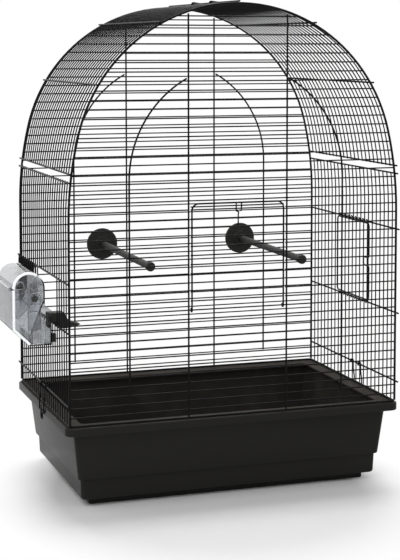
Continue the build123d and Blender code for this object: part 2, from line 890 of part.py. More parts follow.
def carrying_loop():
    """A wire loop that folds down on the roof, its ends curled round the crown rail."""
    radius = loop_eye
    y0 = -loop_half_span
    y1 = loop_half_span
    path = FilletPolyline(
        (0, y0, radius),
        (loop_reach, y0, radius),
        (loop_reach, y1, radius),
        (0, y1, radius),
        radius=loop_corner,
    )
    first_eye = arc_about((0, y0, 0), (0, 0, 1), (0, 1, 0), radius, -eye_turn, eye_turn)
    last_eye = arc_about((0, y1, 0), (0, 0, 1), (0, 1, 0), radius, 0, -eye_turn)
    flat = bent_wire([first_eye] + list(path.edges()) + [last_eye], loop_wire)
    return [Pos(0, 0, crown_z) * Rot(0, loop_tilt, 0) * flat]


def main():
    """Builds each piece and writes it to its own file."""
    os.makedirs("parts", exist_ok=True)
    right_middle = side_door_middle(right_opening_first)
    slid_back = half_depth - edge_wire / 2 - door_wire / 2 - side_door_half - 0.8
    nodes = {
        "tray": tray(),
        "bottom_frame": bottom_frame(),
        "front_edge_wire": edge_outline(-1),
        "back_edge_wire": edge_outline(1),
        "front_bars": wall_bars(-1),
        "back_bars": wall_bars(1),
        "front_uprights": wall_uprights(-1),
        "back_uprights": wall_uprights(1),
        "front_arches": decorative_arches(-1),
        "back_arches": decorative_arches(1),
        "left_side_wires": side_wires(-1, feeder_opening_first, feeder_door_top_z),
        "right_side_wires": side_wires(1, right_opening_first, side_door_top_z),
        "roof_wires": roof_wires(),
        "left_rails": side_rails(-1, feeder_door_top_z),
        "right_rails": side_rails(1, side_door_top_z),
        "roof_rails": roof_rails(),
        "front_door_frame": front_door_frame(),
        "front_door_bars": front_door_bars(),
        "front_door_latch": front_door_latch(),
        "latch_staples": latch_staples(),
        "right_door_frame": side_door_frame(1, right_middle, side_door_top_z),
        "right_door_wires": side_door_wires(1, right_middle, side_door_top_z),
        "left_door_frame": side_door_frame(-1, slid_back, feeder_door_top_z),
        "left_door_wires": side_door_wires(-1, slid_back, feeder_door_top_z),
        "feeder_housing": feeder_housing(),
        "feeder_lid": feeder_lid(),
        "feeder_lid_pin": feeder_lid_pin(),
        "feeder_divider": feeder_divider(),
        "feeder_baffles": feeder_baffles(),
        "feeder_perch": feeder_perch(),
        "feeder_clips": feeder_clips(),
        "perch_rod_left": perch_rod(-perch_x),
        "perch_rod_right": perch_rod(perch_x),
        "perch_flange_left": perch_flange(-perch_x),
        "perch_flange_right": perch_flange(perch_x),
        "perch_nut_left": perch_nut(-perch_x),
        "perch_nut_right": perch_nut(perch_x),
        "tray_latch_left": tray_latch(-1),
        "tray_latch_right": tray_latch(1),
        "carrying_loop": carrying_loop(),
    }
    for name, solids in nodes.items():
        save(name, solids)
    print(f"{len(nodes)} nodes, crown {crown_z:.2f}, loop tilt {loop_tilt:.2f}")
    print(f"door hinge z {door_hinge_z:.2f}, eye {eye_radius:.2f}, lid hinge x {feeder_hinge_x:.2f}")


main()
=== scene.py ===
"""The looks of a wire bird cage with an arched roof on a deep glossy tray."""

import logging
from dataclasses import dataclass, field
from enum import Enum
from math import atan2, cos, pi, radians, sin, sqrt
from typing import Any, Iterable, Mapping, Optional, Sequence, Union

import bmesh
import bpy
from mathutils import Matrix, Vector

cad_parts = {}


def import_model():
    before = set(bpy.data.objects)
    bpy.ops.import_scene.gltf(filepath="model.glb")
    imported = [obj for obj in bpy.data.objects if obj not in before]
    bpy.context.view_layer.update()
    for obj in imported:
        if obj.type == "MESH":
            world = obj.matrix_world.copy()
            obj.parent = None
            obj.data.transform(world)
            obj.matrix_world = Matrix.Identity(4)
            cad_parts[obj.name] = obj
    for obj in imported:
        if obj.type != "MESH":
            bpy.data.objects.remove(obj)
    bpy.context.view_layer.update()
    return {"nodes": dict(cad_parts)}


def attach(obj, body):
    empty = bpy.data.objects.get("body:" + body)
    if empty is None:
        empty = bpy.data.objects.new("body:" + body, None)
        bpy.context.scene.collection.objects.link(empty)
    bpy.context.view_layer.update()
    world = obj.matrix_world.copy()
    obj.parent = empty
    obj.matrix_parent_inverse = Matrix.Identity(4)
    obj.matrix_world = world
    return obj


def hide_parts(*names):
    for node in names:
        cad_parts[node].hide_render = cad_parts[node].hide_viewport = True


LOG = logging.getLogger("bird_cage")
WELD_DISTANCE = 0.000002
FLAT_ANGLE = 1.0
SHARP_ANGLE = 32.0
MM = 0.001

Point = tuple[float, float, float]
Colour = tuple[float, float, float, float]


class Side(Enum):
    """The left or right half of the cage."""

    LEFT = -1
    RIGHT = 1


class Wall(Enum):
    """The front or back wall of the cage."""

    FRONT = -1
    BACK = 1


class Slot(Enum):
    """The finishes; TRAY_INSIDE_SHADED, SMOKED and FROSTED_PAINTED_HIGHLIGHT are variants and no slots of the record."""

    WIRE = "black_wire"
    TRAY = "tray_plastic"
    TRAY_INSIDE_SHADED = "tray_inside"
    MOULDED = "black_plastic"
    CLEAR = "clear_plastic"
    SMOKED = "smoked_clear"
    FROSTED_PAINTED_HIGHLIGHT = "frosted_clear_painted_highlight"
    STEEL = "pin_steel"


class Signal:
    """A value in a shader that takes the usual arithmetic."""

    def __init__(self, sheet: "ShaderSheet", socket: bpy.types.NodeSocket) -> None:
        """Wraps one output socket.

        Args:
            sheet: The node sheet that the socket is on.
            socket: The output socket.
        """
        self.sheet = sheet
        self.socket = socket

    def _math(self, operation: str, first: Any, second: Any) -> "Signal":
        """Adds one Math node.

        Args:
            operation: The node's operation.
            first: The first operand, a number or a signal.
            second: The second operand, a number or a signal.

        Returns:
            The node's result.
        """
        return self.sheet.node("ShaderNodeMath", {"operation": operation}, {0: first, 1: second})

    def __add__(self, other: Any) -> "Signal":
        """Adds another value."""
        return self._math("ADD", self, other)

    def __radd__(self, other: Any) -> "Signal":
        """Adds this value to a number."""
        return self._math("ADD", other, self)

    def __sub__(self, other: Any) -> "Signal":
        """Takes another value away."""
        return self._math("SUBTRACT", self, other)

    def __rsub__(self, other: Any) -> "Signal":
        """Takes this value from a number."""
        return self._math("SUBTRACT", other, self)

    def __mul__(self, other: Any) -> "Signal":
        """Multiplies by another value."""
        return self._math("MULTIPLY", self, other)

    def __rmul__(self, other: Any) -> "Signal":
        """Multiplies a number by this value."""
        return self._math("MULTIPLY", other, self)

    def highest(self, other: Any) -> "Signal":
        """Returns the larger of this value and another."""
        return self._math("MAXIMUM", self, other)


class ShaderSheet:
    """A node tree with one method that adds any node."""

    def __init__(self, tree: bpy.types.NodeTree) -> None:
        """Empties the tree.

        Args:
            tree: The tree of a material or a world.
        """
        self.tree = tree
        tree.nodes.clear()

    def node(
        self,
        kind: str,
        settings: Optional[Mapping[str, Any]] = None,
        inputs: Optional[Mapping[Any, Any]] = None,
        output: Union[int, str] = 0,
    ) -> Signal:
        """Adds a node, sets it and links it.

        Args:
            kind: The node's type name.
            settings: Attributes to set first.
            inputs: Values or signals by socket name or number.
            output: The output to hand back.

        Returns:
            The chosen output, or the first input of a node that has none.
        """
        made = self.tree.nodes.new(kind)
        for name, value in (settings or {}).items():
            setattr(made, name, value)
        for name, value in (inputs or {}).items():
            if isinstance(value, Signal):
                self.tree.links.new(value.socket, made.inputs[name])
            else:
                made.inputs[name].default_value = value
        if not made.outputs:
            return Signal(self, made.inputs[0])
        return Signal(self, made.outputs[output])

    def place(self) -> Signal:
        """Returns the place on the object, in metres."""
        return self.node("ShaderNodeTexCoord", output="Object")

    def noise(self, scale: float, detail: float = 3.0, stretch: Optional[Point] = None) -> Signal:
        """Adds a noise pattern.

        Args:
            scale: Cells for each metre.
            detail: Octaves of finer noise.
            stretch: Scale along each axis, for drawn-out marks.

        Returns:
            The noise from 0 to 1.
        """
        at = self.place()
        if stretch:
            at = self.node("ShaderNodeMapping", {}, {"Vector": at, "Scale": stretch})
        return self.node(
            "ShaderNodeTexNoise", {}, {"Vector": at, "Scale": scale, "Detail": detail}, "Fac"
        )

    def remap(self, value: Signal, low: float, high: float, start: float, end: float) -> Signal:
        """Carries a range of values over to another one, with clamping.

        Args:
            value: The value to carry over.
            low: The lower end of its range.
            high: The upper end of its range.
            start: The result at the lower end.
            end: The result at the upper end.

        Returns:
            The new value.
        """
        inputs = {0: value, 1: low, 2: high, 3: start, 4: end}
        return self.node("ShaderNodeMapRange", {"clamp": True}, inputs)

    def blend(self, factor: Signal, first: Any, second: Any) -> Signal:
        """Mixes two colours.

        Args:
            factor: How much of the second colour shows.
            first: The first colour.
            second: The second colour.

        Returns:
            The mixed colour.
        """
        inputs = {0: factor, 6: first, 7: second}
        return self.node("ShaderNodeMix", {"data_type": "RGBA"}, inputs, 2)

    def bump(self, height: Signal, depth: float, strength: float = 1.0) -> Signal:
        """Turns a height into a normal.

        Args:
            height: The height pattern.
            depth: What a height of 1 is in metres.
            strength: How strongly the bump shows.

        Returns:
            The normal.
        """
        inputs = {"Height": height, "Distance": depth, "Strength": strength}
        return self.node("ShaderNodeBump", {}, inputs)


def grey(level: float) -> Colour:
    """Returns a neutral colour."""
    return (level, level, level, 1.0)


@dataclass(frozen=True)
class Finish:
    """A surface finish; each kind adds its own pattern."""

    name: str
    dark: Colour
    pale: Colour

    def make(self) -> bpy.types.Material:
        """Returns the finish as a material."""
        material = bpy.data.materials.new(self.name)
        material.use_nodes = True
        sheet = ShaderSheet(material.node_tree)
        surface = sheet.node("ShaderNodeBsdfPrincipled", {}, self.sockets(sheet))
        sheet.node("ShaderNodeOutputMaterial", {}, {"Surface": surface})
        return material

    def sockets(self, sheet: ShaderSheet) -> dict[str, Any]:
        """Returns what the surface's sockets take.

        Args:
            sheet: The sheet to build patterns on.

        Returns:
            Values and signals by socket name.
        """
        return {"Base Color": self.dark}


@dataclass(frozen=True)
class WireCoating(Finish):
    """Satin black coating on wire, a little uneven, with pale rubbed spots."""

    satin: tuple[float, float] = (0.24, 0.40)

    def sockets(self, sheet: ShaderSheet) -> dict[str, Any]:
        """Returns the coating's patterns.

        Args:
            sheet: The sheet to build patterns on.

        Returns:
            Values and signals by socket name.
        """
        grain = sheet.noise(700.0)
        patches = sheet.noise(38.0, 4.0)
        rubbed = sheet.remap(patches, 0.62, 0.78, 0.0, 1.0)
        ripple = sheet.noise(1500.0, 2.0)
        return {
            "Base Color": sheet.blend(rubbed, self.dark, self.pale),
            "Roughness": sheet.remap(grain, 0.3, 0.7, *self.satin) + rubbed * 0.08,
            "Specular IOR Level": 0.06,
            "Normal": sheet.bump(ripple, 0.00005, 0.5),
        }


@dataclass(frozen=True)
class TrayGloss(Finish):
    """Glossy black moulding with faint waves, dust and fine scratches."""

    gloss: tuple[float, float] = (0.10, 0.20)

    def sockets(self, sheet: ShaderSheet) -> dict[str, Any]:
        """Returns the moulding's patterns.

        Args:
            sheet: The sheet to build patterns on.

        Returns:
            Values and signals by socket name.
        """
        cloud = sheet.noise(9.0, 3.0)
        dust = sheet.remap(sheet.noise(520.0, 2.0), 0.70, 0.80, 0.0, 1.0)
        marks = sheet.noise(60.0, 4.0, (0.25, 0.25, 7.0))
        scratches = sheet.remap(marks, 0.66, 0.72, 0.0, 1.0)
        waves = sheet.noise(11.0, 1.0)
        fine = sheet.noise(900.0, 2.0)
        return {
            "Base Color": sheet.blend(dust * 0.35, self.dark, self.pale),
            "Roughness": sheet.remap(cloud, 0.3, 0.7, *self.gloss) + scratches * 0.10,
            "Specular IOR Level": 0.07,
            "Normal": sheet.bump(waves * 0.9 + fine * 0.006, 0.0009, 0.6),
        }


@dataclass(frozen=True)
class MattMoulding(Finish):
    """Dull black moulding with a fine spark-eroded grain."""

    def sockets(self, sheet: ShaderSheet) -> dict[str, Any]:
        """Returns the grain's patterns.

        Args:
            sheet: The sheet to build patterns on.

        Returns:
            Values and signals by socket name.
        """
        grain = sheet.noise(1400.0, 3.0)
        worn = sheet.remap(sheet.noise(70.0, 3.0), 0.5, 0.75, 0.0, 1.0)
        return {
            "Base Color": sheet.blend(worn, self.dark, self.pale),
            "Roughness": sheet.remap(grain, 0.3, 0.7, 0.48, 0.66),
            "Specular IOR Level": 0.38,
            "Normal": sheet.bump(grain, 0.00012, 0.6),
        }


@dataclass(frozen=True)
class ShadedTrayInside(Finish):
    """The tray's inside and ledge: a dull, low-sheen copy of the tray plastic whose darkness is
    painted shade, with paler patches at random.
    """

    def sockets(self, sheet: ShaderSheet) -> dict[str, Any]:
        """Returns the rubbed surface's patterns.

        Args:
            sheet: The sheet to build patterns on.

        Returns:
            Values and signals by socket name.
        """
        grain = sheet.noise(900.0, 3.0)
        rubbed = sheet.remap(sheet.noise(24.0, 4.0), 0.45, 0.75, 0.0, 1.0)
        return {
            # The low sheen and dull roughness make the inside render darker than the outside: painted
            # shade in place of dark reflections.
            "Base Color": sheet.blend(rubbed, self.dark, self.pale),
            "Roughness": sheet.remap(grain, 0.3, 0.7, 0.55, 0.75),
            "Specular IOR Level": 0.03,
            "Normal": sheet.bump(grain, 0.00010, 0.5),
        }


@dataclass(frozen=True)
class ClearMoulding(Finish):
    """Clear plastic with faint clouding and flow marks."""

    def sockets(self, sheet: ShaderSheet) -> dict[str, Any]:
        """Returns the clear plastic's patterns.

        Args:
            sheet: The sheet to build patterns on.

        Returns:
            Values and signals by socket name.
        """
        cloud = sheet.noise(45.0, 3.0)
        flow = sheet.noise(14.0, 1.0, (1.0, 0.3, 1.0))
        return {
            "Base Color": sheet.blend(cloud, self.dark, self.pale),
            "Roughness": sheet.remap(cloud, 0.35, 0.7, 0.02, 0.10),
            "IOR": 1.49,
            "Transmission Weight": 1.0,
            "Normal": sheet.bump(flow, 0.0002, 0.04),
        }


@dataclass(frozen=True)
class FrostedPaintedHighlight(Finish):
    """The thick pale rim of the clear mouldings.

    Its brightness is partly emission, which stands in for the photograph's lamp reflections, so
    it looks too bright in a dark scene.
    """

    glow: float = 0.42

    def sockets(self, sheet: ShaderSheet) -> dict[str, Any]:
        """Returns the rim's patterns.

        Args:
            sheet: The sheet to build patterns on.

        Returns:
            Values and signals by socket name.
        """
        cloud = sheet.noise(60.0, 2.0)
        return {
            "Base Color": sheet.blend(cloud, self.dark, self.pale),
            "Roughness": sheet.remap(cloud, 0.35, 0.7, 0.16, 0.28),
            "Transmission Weight": 0.25,
            # The emission is a painted highlight: the pale rim glows as a lamp's reflection would
            # light it.
            "Emission Color": sheet.blend(cloud, self.dark, self.pale),
            "Emission Strength": self.glow,
        }


@dataclass(frozen=True)
class PlainSteel(Finish):
    """Drawn steel with fine marks round the pin."""

    def sockets(self, sheet: ShaderSheet) -> dict[str, Any]:
        """Returns the steel's patterns.

        Args:
            sheet: The sheet to build patterns on.

        Returns:
            Values and signals by socket name.
        """
        drawn = sheet.noise(400.0, 2.0, (1.0, 12.0, 1.0))
        return {
            "Base Color": sheet.blend(drawn, self.dark, self.pale),
            "Metallic": 1.0,
            "Roughness": sheet.remap(drawn, 0.3, 0.7, 0.22, 0.38),
        }


FINISHES: dict[Slot, Finish] = {
    Slot.WIRE: WireCoating(
        "satin_black_wire", (0.013, 0.0122, 0.0128, 1), (0.030, 0.028, 0.028, 1)
    ),
    Slot.TRAY: TrayGloss(
        "glossy_black_tray", (0.0275, 0.0268, 0.0250, 1), (0.06, 0.06, 0.058, 1)
    ),
    # The inside copy of the tray plastic is duller, which paints the shade of the tray's inside and
    # ledge.
    Slot.TRAY_INSIDE_SHADED: ShadedTrayInside(
        "dull_tray_inside_painted_shade", (0.048, 0.0430, 0.0380, 1), (0.070, 0.063, 0.056, 1)
    ),
    Slot.MOULDED: MattMoulding(
        "matt_black_moulding", (0.016, 0.0155, 0.014, 1), (0.028, 0.027, 0.024, 1)
    ),
    Slot.CLEAR: ClearMoulding("clear_moulding", (0.88, 0.90, 0.92, 1), (0.95, 0.965, 0.975, 1)),
    Slot.SMOKED: ClearMoulding("smoked_ribs", (0.62, 0.63, 0.66, 1), (0.72, 0.73, 0.76, 1)),
    Slot.FROSTED_PAINTED_HIGHLIGHT: FrostedPaintedHighlight("frosted_rim_painted_highlight", (0.88, 0.90, 0.91, 1), (0.95, 0.96, 0.97, 1)),
    Slot.STEEL: PlainSteel("plain_steel", (0.42, 0.42, 0.43, 1), (0.60, 0.60, 0.60, 1)),
}


class Wardrobe:
    """Makes each finish once and dresses pieces in it."""

    def __init__(self) -> None:
        """Makes all the finishes."""
        self.materials = {slot: finish.make() for slot, finish in FINISHES.items()}

    def dress(self, piece: bpy.types.Object, slot: Slot) -> None:
        """Gives every material slot of a piece one finish.

        Args:
            piece: The object to dress.
            slot: The record's slot whose finish it takes.
        """
        if not piece.material_slots:
            piece.data.materials.append(self.materials[slot])
        for place in piece.material_slots:
            place.material = self.materials[slot]


def link_mesh(name: str, mesh: bpy.types.Mesh) -> bpy.types.Object:
    """Puts a mesh into the scene.

    Args:
        name: The piece's name.
        mesh: Its mesh.

    Returns:
        The new object.
    """
    piece = bpy.data.objects.new(name, mesh)
    bpy.context.scene.collection.objects.link(piece)
    return piece


def shade_by_angle(mesh: bpy.types.Mesh, angle: float) -> None:
    """Smooths a mesh apart from its sharp edges.

    Args:
        mesh: The mesh to shade.
        angle: The angle in degrees from which an edge stays sharp.
    """
    shape = bmesh.new()
    shape.from_mesh(mesh)
    bmesh.ops.recalc_face_normals(shape, faces=shape.faces)
    for face in shape.faces:
        face.smooth = True
    for edge in shape.edges:
        flat = len(edge.link_faces) == 2 and edge.calc_face_angle(0.0) < radians(angle)
        edge.smooth = flat
    shape.to_mesh(mesh)
    shape.free()


@dataclass
class ProfileCorner:
    """A corner of the tray's wall section: inset, height and rounding in millimetres."""

    inset: float
    height: float
    rounding: float


@dataclass
class Tray:
    """The deep tub under the cage, with rounded steps and a flanged rim."""

    wardrobe: Wardrobe
    width: float = 512.0
    depth: float = 338.6
    height: float = 122.0
    wall: float = 2.6
    rim_height: float = 11.7
    ledge: float = 27.0
    foot_height: float = 10.4
    step_height: float = 40.6
    foot_inset: float = 41.8
    band_inset: tuple[float, float] = (28.1, 26.8)
    body_inset: tuple[float, float] = (22.8, 14.8)
    gloss_edge: float = 3.2
    underside_land: float = 8.0
    floor_land: float = 12.0
    rim_corner: float = 14.0
    corner_easing: float = 4.0
    smallest_corner: float = 4.0
    corner_steps: int = 10
    rounding_steps: int = 5

    def corners(self) -> list[ProfileCorner]:
        """Returns the wall's section from the underside, over the rim, to the inner floor."""
        rim = self.height - self.rim_height
        plate = self.height - self.wall
        low_band, high_band = self.band_inset
        low_body, high_body = self.body_inset
        outside = [
            (self.foot_inset + self.underside_land, 0.0, 0.0),
            (self.foot_inset, 0.0, 1.6),
            (self.foot_inset, self.foot_height, 0.8),
            (low_band, self.foot_height, 4.0),
            (high_band, self.step_height, 0.8),
            (low_body, self.step_height, 3.0),
            (high_body, rim, 0.4),
            (high_body, plate, 0.8),
            (self.wall, plate, 0.8),
            (self.wall, rim, 0.5),
            (0.0, rim, 0.9),
            (0.0, self.height, 2.2),
        ]
        inside = [
            (self.ledge, self.height, 1.2),
            (self.ledge, plate, 0.6),
            (high_body + self.wall, plate, 0.8),
            (high_body + self.wall, rim, 0.4),
            (low_body + self.wall, self.step_height + self.wall, 0.8),
            (high_band + self.wall, self.step_height + self.wall, 0.8),
            (low_band + self.wall, self.foot_height + self.wall, 1.6),
            (self.foot_inset + self.wall, self.foot_height + self.wall, 1.6),
            (self.foot_inset + self.wall, self.wall, 1.6),
            (self.foot_inset + self.floor_land, self.wall, 0.0),
        ]
        return [ProfileCorner(*corner) for corner in outside + inside]

    def section(self) -> list[tuple[float, float]]:
        """Returns the section with its corners rounded, as inset and height."""
        corners = self.corners()
        line = [(corners[0].inset, corners[0].height)]
        for before, corner, after in zip(corners, corners[1:], corners[2:]):
            line += self._rounded(before, corner, after)
        line.append((corners[-1].inset, corners[-1].height))
        return line

    def _rounded(
        self, before: ProfileCorner, corner: ProfileCorner, after: ProfileCorner
    ) -> list[tuple[float, float]]:
        """Rounds one corner of the section.

        Args:
            before: The corner before it.
            corner: The corner to round.
            after: The corner after it.

        Returns:
            Points along the rounding.
        """
        at = Vector((corner.inset, corner.height))
        back = Vector((before.inset, before.height)) - at
        ahead = Vector((after.inset, after.height)) - at
        reach = min(corner.rounding, back.length * 0.45, ahead.length * 0.45)
        start = at + back.normalized() * reach
        end = at + ahead.normalized() * reach
        points = []
        for step in range(self.rounding_steps + 1):
            t = step / self.rounding_steps
            spot = start * (1 - t) ** 2 + at * (2 * t * (1 - t)) + end * t ** 2
            points.append((spot.x, spot.y))
        return points

    def loop(self, inset: float, height: float) -> list[Point]:
        """Returns one level's rounded rectangle, in metres.

        Args:
            inset: How far it is drawn in from the rim's edge.
            height: Its height.

        Returns:
            Points round the rectangle.
        """
        radius = max(self.rim_corner - inset / self.corner_easing, self.smallest_corner)
        half_x = self.width / 2 - inset - radius
        half_y = self.depth / 2 - inset - radius
        points = []
        for quarter, (sx, sy) in enumerate(((1, 1), (-1, 1), (-1, -1), (1, -1))):
            for step in range(self.corner_steps + 1):
                turn = pi / 2 * (quarter + step / self.corner_steps)
                x = sx * half_x + radius * cos(turn)
                y = sy * half_y + radius * sin(turn)
                points.append((x * MM, y * MM, height * MM))
        return points

    def build(self) -> bpy.types.Object:
        """Makes the tub, which stands for the CAD tray."""
        levels = self.section()
        loops = [self.loop(inset, height) for inset, height in levels]
        count = len(loops[0])
        faces = []
        for level in range(len(loops) - 1):
            base = level * count
            for step in range(count):
                ahead = (step + 1) % count
                above = base + count
                faces.append((base + step, base + ahead, above + ahead, above + step))
        faces.append(tuple(range(count)))
        faces.append(tuple(range((len(loops) - 1) * count, len(loops) * count)))
        mesh = bpy.data.meshes.new("tray_tub")
        mesh.from_pydata([point for loop in loops for point in loop], [], faces)
        shade_by_angle(mesh, 35.0)
        tub = link_mesh("tray_tub", mesh)
        self.wardrobe.dress(tub, Slot.TRAY)
        # The ledge and the inside take the duller copy, whose darkness is painted shade.
        mesh.materials.append(self.wardrobe.materials[Slot.TRAY_INSIDE_SHADED])
        top = [i for i, (_, height) in enumerate(levels) if height > self.height - 0.05]
        top_edge = next(i for i in top if levels[i][0] > self.gloss_edge)
        for face in mesh.polygons:
            if min(face.vertices) >= (top_edge - 1) * count:
                face.material_index = 1
        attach(tub, "tray")
        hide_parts("tray")
        return tub


def sphere_shape(subdivisions: int) -> tuple[list[Vector], list[tuple[int, ...]]]:
    """Returns a unit ball's points and faces.

    Args:
        subdivisions: How finely it is divided.

    Returns:
        The points and the faces.
    """
    shape = bmesh.new()
    bmesh.ops.create_icosphere(shape, subdivisions=subdivisions, radius=1.0)
    points = [vertex.co.copy() for vertex in shape.verts]
    faces = [tuple(vertex.index for vertex in face.verts) for face in shape.faces]
    shape.free()
    return points, faces


def tube_along(name: str, points: Sequence[Point], radius: float) -> bpy.types.Object:
    """Makes a round rib through points.

    Args:
        name: The piece's name.
        points: Points in metres.
        radius: Its radius in metres.

    Returns:
        The new mesh piece.
    """
    curve = bpy.data.curves.new(name, "CURVE")
    curve.dimensions = "3D"
    curve.bevel_depth = radius
    curve.bevel_resolution = 3
    curve.use_fill_caps = True
    spline = curve.splines.new("POLY")
    spline.points.add(len(points) - 1)
    for place, point in zip(spline.points, points):
        place.co = (*point, 1.0)
    holder = bpy.data.objects.new(name + "_line", curve)
    bpy.context.scene.collection.objects.link(holder)
    bpy.context.view_layer.update()
    evaluated = holder.evaluated_get(bpy.context.evaluated_depsgraph_get())
    mesh = bpy.data.meshes.new_from_object(evaluated)
    bpy.data.objects.remove(holder)
    mesh.name = name
    shade_by_angle(mesh, 50.0)
    return link_mesh(name, mesh)


def rounded_copy(node: bpy.types.Object, name: str, rounding: float) -> bpy.types.Object:
    """Copies a CAD piece with its edges rounded as a mould leaves them.

    Args:
        node: The CAD piece.
        name: The new piece's name.
        rounding: The rounding in metres.

    Returns:
        The rounded piece.
    """
    shape = bmesh.new()
    shape.from_mesh(node.data)
    shape.transform(node.matrix_world)
    bmesh.ops.remove_doubles(shape, verts=shape.verts, dist=WELD_DISTANCE)
    bmesh.ops.dissolve_limit(
        shape, angle_limit=radians(FLAT_ANGLE), verts=shape.verts, edges=shape.edges
    )
    sharp = [
        edge for edge in shape.edges
        if len(edge.link_faces) == 2 and edge.calc_face_angle(0.0) > radians(SHARP_ANGLE)
    ]
    bmesh.ops.bevel(
        shape, geom=sharp, offset=rounding, segments=3, profile=0.5, affect="EDGES",
        clamp_overlap=True,
    )
    mesh = bpy.data.meshes.new(name)
    shape.to_mesh(mesh)
    shape.free()
    shade_by_angle(mesh, 40.0)
    return link_mesh(name, mesh)


@dataclass
class Outline:
    """The cage's side outline: an upright, a long lean arc and the arch, in millimetres."""

    half_width: float = 250.0
    shoulder: float = 410.0
    centre: float = 474.7
    radius: float = 242.3

    def half_span(self, z: float, offset: float) -> float:
        """Returns half the outline's width at a height.

        Args:
            z: The height.
            offset: How far the outline is moved out.

        Returns:
            Half the width.
        """
        drop = self.centre - self.shoulder
        squares = self.half_width ** 2 + drop ** 2 - self.radius ** 2
        lean = squares / (2 * (self.half_width - self.radius))
        lean_centre = self.half_width - lean
        join = self.centre + (self.radius + offset) * sin(atan2(drop, -lean_centre))
        if z <= self.shoulder:
            return self.half_width + offset
        if z <= join:
            return lean_centre + sqrt((lean + offset) ** 2 - (z - self.shoulder) ** 2)
        return sqrt((self.radius + offset) ** 2 - (z - self.centre) ** 2)


@dataclass
class WeldBeads:
    """The small beads where crossing wires are welded, in millimetres."""

    wardrobe: Wardrobe
    outline: Outline = field(default_factory=Outline)
    bar_top: float = 462.6
    bar_pitch: float = 13.1
    bar_first: int = -18
    bar_last: int = 25
    bar_plane: float = 161.58
    side_pitch: float = 14.2
    side_count: int = 23
    upright_x: float = 75.0
    leg_x: float = 162.5
    leg_levels: tuple[float, float] = (146.0, 467.0)
    door_x: float = 70.0
    door_bars: tuple[int, int] = (3, 13)
    bead: tuple[float, float] = (1.35, 0.75)
    wall_inset: float = -0.4
    rail_offset: float = 1.72
    rail_levels: Mapping[Side, tuple[float, ...]] = field(
        default_factory=lambda: {
            Side.LEFT: (467.0, 326.0, 257.0, 153.0),
            Side.RIGHT: (467.0, 383.4, 257.0, 153.0),
        }
    )
    roof_levels: tuple[float, ...] = (479.0, 602.5, 689.8)

    def level(self, number: int) -> float:
        """Returns the height of a bar."""
        return self.bar_top - number * self.bar_pitch

    def wall_spots(self, wall: Wall) -> list[Vector]:
        """Returns the crossings on the front or back wall.

        Args:
            wall: The wall.

        Returns:
            Their places.
        """
        y = wall.value * self.bar_plane
        spots = []
        for number in range(self.bar_first, self.bar_last + 1):
            z = self.level(number)
            reach = self.outline.half_span(z, self.wall_inset)
            columns = [reach]
            if self.upright_x < reach:
                columns.append(self.upright_x)
            if self.leg_levels[0] < z < self.leg_levels[1]:
                columns.append(self.leg_x)
            spots += [Vector((side.value * x, y, z)) for side in Side for x in columns]
        return spots

    def rail_spots(self) -> list[Vector]:
        """Returns the crossings of the side and roof wires with their rails."""
        spots = []
        crown = self.outline.centre + self.outline.radius + self.rail_offset
        for number in range(1, self.side_count):
            y = (number - self.side_count / 2) * self.side_pitch
            for side in Side:
                for z in self.rail_levels[side] + self.roof_levels:
                    x = side.value * self.outline.half_span(z, self.rail_offset)
                    spots.append(Vector((x, y, z)))
            spots.append(Vector((0.0, y, crown)))
        return spots

    def door_spots(self) -> list[Vector]:
        """Returns the crossings of the front door's bars with its frame."""
        first, last = self.door_bars
        return [
            Vector((side.value * self.door_x, -self.bar_plane, self.level(number)))
            for side in Side
            for number in range(first, last + 1)
        ]

    def beads(self, name: str, spots: Iterable[Vector], body: str) -> bpy.types.Object:
        """Makes one piece of all the beads that move together.

        Args:
            name: The piece's name.
            spots: Where the beads are.
            body: The body that they move with.

        Returns:
            The new piece.
        """
        ball, ball_faces = sphere_shape(1)
        wide, low = self.bead
        points = []
        faces = []
        for spot in spots:
            start = len(points)
            for point in ball:
                place = spot + Vector((point.x * wide, point.y * low, point.z * wide))
                points.append(place * MM)
            faces += [tuple(start + corner for corner in face) for face in ball_faces]
        mesh = bpy.data.meshes.new(name)
        mesh.from_pydata(points, [], faces)
        shade_by_angle(mesh, 80.0)
        piece = link_mesh(name, mesh)
        self.wardrobe.dress(piece, Slot.WIRE)
        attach(piece, body)
        return piece

    def build(self) -> list[bpy.types.Object]:
        """Makes the beads of the cage and of its front door."""
        wall_spots = self.wall_spots(Wall.FRONT) + self.wall_spots(Wall.BACK)
        cage_spots = wall_spots + self.rail_spots()
        return [
            self.beads("cage_weld_beads", cage_spots, "cage"),
            self.beads("front_door_weld_beads", self.door_spots(), "front_door"),
        ]


@dataclass
class Rib:
    """A straight rib on the feeder's end: its name, height and radius in metres."""

    name: str
    height: float
    radius: float


